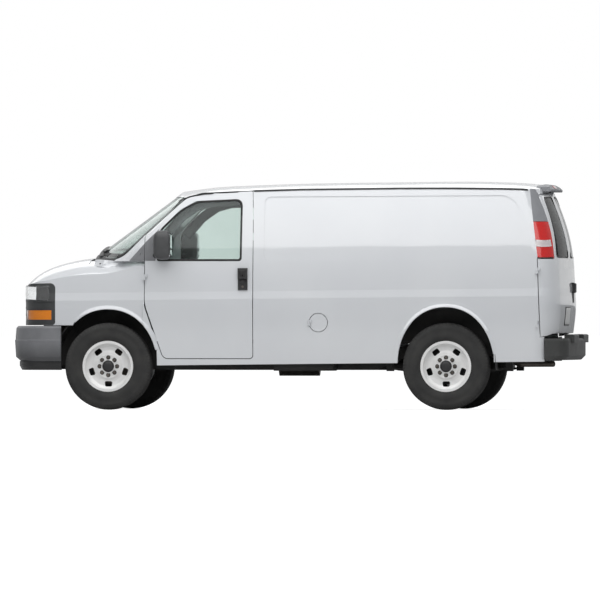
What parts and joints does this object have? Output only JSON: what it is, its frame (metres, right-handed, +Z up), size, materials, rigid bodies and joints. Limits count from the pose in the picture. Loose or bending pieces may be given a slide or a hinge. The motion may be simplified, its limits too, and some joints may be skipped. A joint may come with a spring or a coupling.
{
  "type": "cargo van",
  "caption": "Full-size cargo van with hinged front, side and rear doors, hood, steered front wheels and a hollow cab and load space.",
  "frame": {"origin": "on the ground under the middle of the van's bounding box", "axes": "-X to the front, +X to the rear, -Y to the driver's side, +Z up"},
  "size_m": [5.3338, 2.43, 2.137],
  "materials": {
    "body_paint": "gloss white enamel",
    "glass": "polished",
    "dark_glass": "polished, tinted",
    "bumper_grey": "satin grain",
    "bumper_dark": "satin",
    "black_plastic": "fine grain",
    "lamp_clear": "clear over a reflector",
    "lamp_amber": "translucent",
    "lamp_red": "translucent",
    "frame_steel": "chassis black",
    "iron": "as cast",
    "exhaust_steel": "aluminised",
    "tank_plastic": "moulded",
    "floor_steel": "painted sheet",
    "seat_cloth": "woven",
    "tyre": "matte",
    "wheel_steel": "silver"
  },
  "bodies": {
    "body": {"body_side_left": "body_paint", "body_side_right": "body_paint", "roof": "body_paint", "front_fenders": "body_paint", "windshield_pillars": "body_paint", "windshield": "glass", "front_bumper": "bumper_grey", "front_valance": "bumper_grey", "grille": "bumper_grey", "rear_bumper": "bumper_dark", "cowl_panel": "black_plastic", "wipers": "black_plastic", "wheel_liners": "black_plastic", "high_stop_lamp": "black_plastic", "dashboard": "black_plastic", "steering_wheel": "black_plastic", "rear_corner_trim": "black_plastic", "headlamps": "lamp_clear", "turn_lamps": "lamp_amber", "tail_lamps": "lamp_red", "frame": "frame_steel", "front_suspension": "frame_steel", "rear_axle": "frame_steel", "engine_block": "iron", "exhaust": "exhaust_steel", "fuel_tank": "tank_plastic", "floor": "floor_steel", "firewall": "floor_steel", "seats": "seat_cloth"},
    "front_door_left": {"front_door_left": "body_paint", "front_glass_left": "glass", "mirror_left": "black_plastic", "front_handle_left": "black_plastic"},
    "front_door_right": {"front_door_right": "body_paint", "front_glass_right": "glass", "mirror_right": "black_plastic", "front_handle_right": "black_plastic"},
    "side_door_front": {"side_door_front": "body_paint", "side_door_handle": "black_plastic"},
    "side_door_rear": {"side_door_rear": "body_paint"},
    "rear_door_left": {"rear_door_left": "body_paint", "rear_glass_left": "dark_glass"},
    "rear_door_right": {"rear_door_right": "body_paint", "rear_glass_right": "dark_glass", "rear_door_handle": "black_plastic"},
    "hood": {"hood": "body_paint"},
    "fuel_flap": {"fuel_flap": "body_paint"},
    "knuckle_left": {"knuckle_left": "frame_steel"},
    "knuckle_right": {"knuckle_right": "frame_steel"},
    "wheel_front_left": {"tyre_front_left": "tyre", "rim_front_left": "wheel_steel"},
    "wheel_front_right": {"tyre_front_right": "tyre", "rim_front_right": "wheel_steel"},
    "wheel_rear_left": {"tyre_rear_left": "tyre", "rim_rear_left": "wheel_steel"},
    "wheel_rear_right": {"tyre_rear_right": "tyre", "rim_rear_right": "wheel_steel"}
  },
  "joints": [
    {"name": "front_door_left_hinge", "type": "hinge", "parent": "body", "child": "front_door_left", "pos_m": [-1.345, -1.012, 0.97], "axis": [0, 0, -1], "range_deg": [0, 68]},
    {"name": "front_door_right_hinge", "type": "hinge", "parent": "body", "child": "front_door_right", "pos_m": [-1.345, 1.012, 0.97], "axis": [0, 0, 1], "range_deg": [0, 68]},
    {"name": "side_door_front_hinge", "type": "hinge", "parent": "body", "child": "side_door_front", "pos_m": [-0.248, 1.012, 1], "axis": [0, 0, 1], "range_deg": [0, 90]},
    {"name": "side_door_rear_hinge", "type": "hinge", "parent": "body", "child": "side_door_rear", "pos_m": [0.934, 1.012, 1], "axis": [0, 0, -1], "range_deg": [0, 90]},
    {"name": "rear_door_left_hinge", "type": "hinge", "parent": "body", "child": "rear_door_left", "pos_m": [2.336, -1.012, 1.05], "axis": [0, 0, -1], "range_deg": [0, 163]},
    {"name": "rear_door_right_hinge", "type": "hinge", "parent": "body", "child": "rear_door_right", "pos_m": [2.336, 1.012, 1.05], "axis": [0, 0, 1], "range_deg": [0, 163]},
    {"name": "hood_hinge", "type": "hinge", "parent": "body", "child": "hood", "pos_m": [-1.89, 0, 1.404], "axis": [0, 1, 0], "range_deg": [0, 50]},
    {"name": "fuel_flap_hinge", "type": "hinge", "parent": "body", "child": "fuel_flap", "pos_m": [0.201, -1.012, 0.815], "axis": [0, 0, -1], "range_deg": [0, 100]},
    {"name": "steer_left", "type": "hinge", "parent": "body", "child": "knuckle_left", "pos_m": [-1.693, -0.77, 0.407], "axis": [0, 0, 1], "range_deg": [-33, 33]},
    {"name": "steer_right", "type": "hinge", "parent": "body", "child": "knuckle_right", "pos_m": [-1.693, 0.77, 0.407], "axis": [0, 0, 1], "range_deg": [-33, 33]},
    {"name": "wheel_front_left_spin", "type": "hinge", "parent": "knuckle_left", "child": "wheel_front_left", "pos_m": [-1.693, -0.874, 0.407], "axis": [0, 1, 0], "continuous": true},
    {"name": "wheel_front_right_spin", "type": "hinge", "parent": "knuckle_right", "child": "wheel_front_right", "pos_m": [-1.693, 0.874, 0.407], "axis": [0, 1, 0], "continuous": true},
    {"name": "wheel_rear_left_spin", "type": "hinge", "parent": "body", "child": "wheel_rear_left", "pos_m": [1.476, -0.857, 0.407], "axis": [0, 1, 0], "continuous": true},
    {"name": "wheel_rear_right_spin", "type": "hinge", "parent": "body", "child": "wheel_rear_right", "pos_m": [1.476, 0.857, 0.407], "axis": [0, 1, 0], "continuous": true}
  ],
  "couplings": [
    {"joint": "steer_right", "follows": "steer_left", "ratio": 1}
  ]
}
